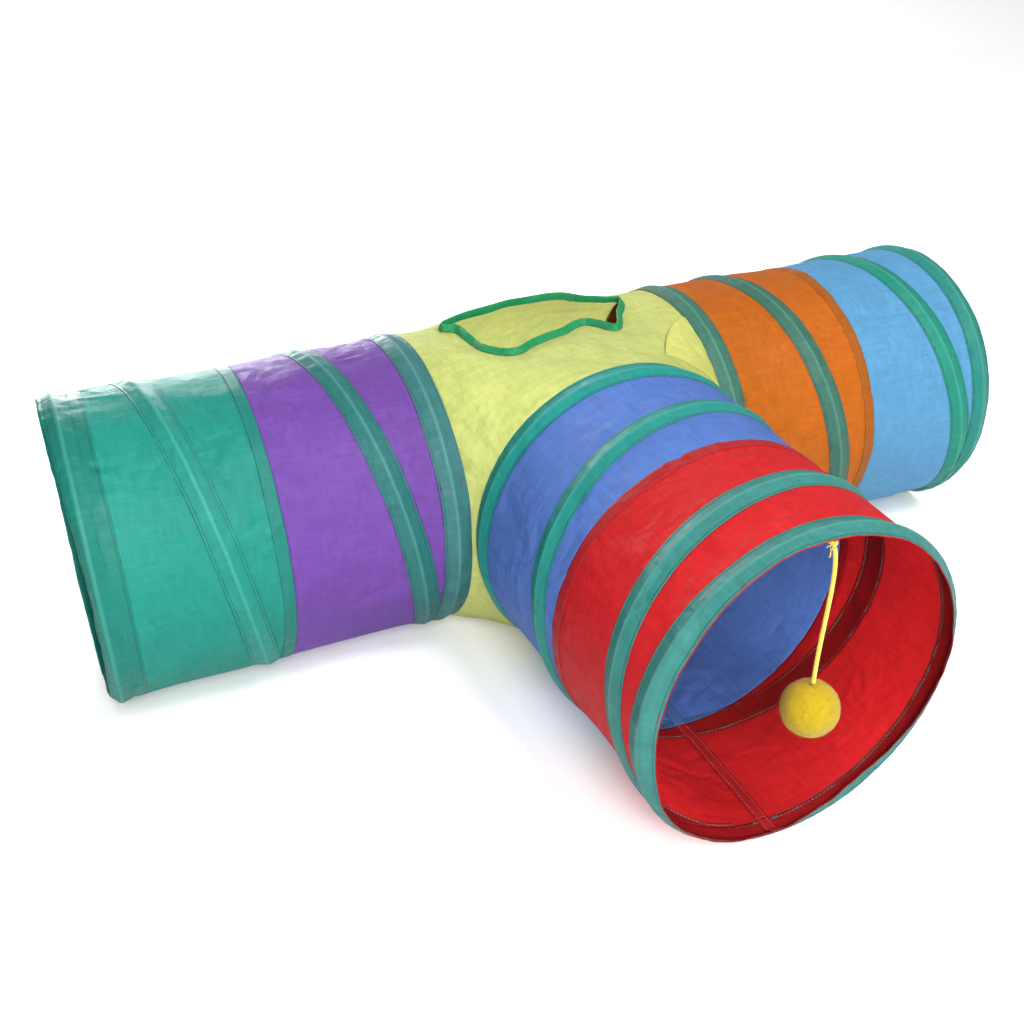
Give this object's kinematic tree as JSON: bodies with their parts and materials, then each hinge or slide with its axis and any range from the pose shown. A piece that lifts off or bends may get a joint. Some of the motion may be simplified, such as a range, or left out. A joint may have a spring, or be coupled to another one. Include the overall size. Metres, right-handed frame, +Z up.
{
  "type": "pet agility tunnel",
  "caption": "T-shaped pop-up cloth tunnel for cats and small dogs: sprung wire rings and coils in sewn tapes, a bound peek hole in the hub and a felt ball on a cord.",
  "frame": {"origin": "on the floor, under the point where the axes of the three arms meet", "axes": "+X along the right arm, -Y along the front arm, +Z up"},
  "size_m": [0.8199, 0.5347, 0.25],
  "materials": {
    "sea_green": "thin crinkled nylon, satin",
    "purple": "thin crinkled nylon, satin",
    "orange": "thin crinkled nylon, satin",
    "light_blue": "thin crinkled nylon, satin",
    "royal_blue": "thin crinkled nylon, satin",
    "red": "thin crinkled nylon, satin",
    "lime": "thin crinkled nylon, satin",
    "teal_tape": "thin crinkled nylon, satin",
    "green_binding": "woven bias binding, satin",
    "yellow_cord": "soft spun cord",
    "yellow_felt": "needled wool felt, matte",
    "spring_steel": "drawn wire, bright"
  },
  "bodies": {
    "hub": {"hub_cover": "lime", "peek_hole_binding": "green_binding", "left_hub_tape": "teal_tape", "left_inner_panel": "purple", "left_hub_ring": "spring_steel", "left_hub_crimp": "spring_steel", "left_coil": "spring_steel", "left_coil_tape": "teal_tape", "right_hub_tape": "teal_tape", "right_inner_panel": "orange", "right_hub_ring": "spring_steel", "right_hub_crimp": "spring_steel", "right_coil": "spring_steel", "right_coil_tape": "teal_tape", "front_hub_tape": "teal_tape", "front_inner_panel": "royal_blue", "front_hub_ring": "spring_steel", "front_hub_crimp": "spring_steel", "front_coil": "spring_steel", "front_coil_tape": "teal_tape"},
    "left_rim": {"left_outer_panel": "sea_green", "left_rim_tape": "teal_tape", "left_rim_ring": "spring_steel", "left_rim_crimp": "spring_steel"},
    "right_rim": {"right_outer_panel": "light_blue", "right_rim_tape": "teal_tape", "right_rim_ring": "spring_steel", "right_rim_crimp": "spring_steel"},
    "front_rim": {"front_outer_panel": "red", "front_rim_tape": "teal_tape", "front_rim_ring": "spring_steel", "front_rim_crimp": "spring_steel"},
    "lure_knot": {"lure_knot": "yellow_cord"},
    "lure": {"lure_cord": "yellow_cord", "lure_ball": "yellow_felt"}
  },
  "joints": [
    {"name": "left_collapse", "type": "slide", "parent": "hub", "child": "left_rim", "axis": [1, 0, 0], "range_m": [0, 0.23], "stiffness_N_per_m": 15, "springref_m": -0.06, "deforming": ["left_inner_panel", "left_outer_panel", "left_coil", "left_coil_tape"]},
    {"name": "right_collapse", "type": "slide", "parent": "hub", "child": "right_rim", "axis": [-1, 0, 0], "range_m": [0, 0.24], "stiffness_N_per_m": 15, "springref_m": -0.06, "deforming": ["right_inner_panel", "right_outer_panel", "right_coil", "right_coil_tape"]},
    {"name": "front_collapse", "type": "slide", "parent": "hub", "child": "front_rim", "axis": [0, 1, 0], "range_m": [0, 0.219], "stiffness_N_per_m": 15, "springref_m": -0.06, "deforming": ["front_inner_panel", "front_outer_panel", "front_coil", "front_coil_tape"]},
    {"name": "lure_swing", "type": "hinge", "parent": "front_rim", "child": "lure_knot", "pos_m": [0.0015, -0.3892, 0.24138], "axis": [1, 0, 0], "range_deg": [-60, 60]},
    {"name": "lure_sway", "type": "hinge", "parent": "lure_knot", "child": "lure", "pos_m": [0.0015, -0.3892, 0.24138], "axis": [0, 1, 0], "range_deg": [-30, 30]}
  ]
}
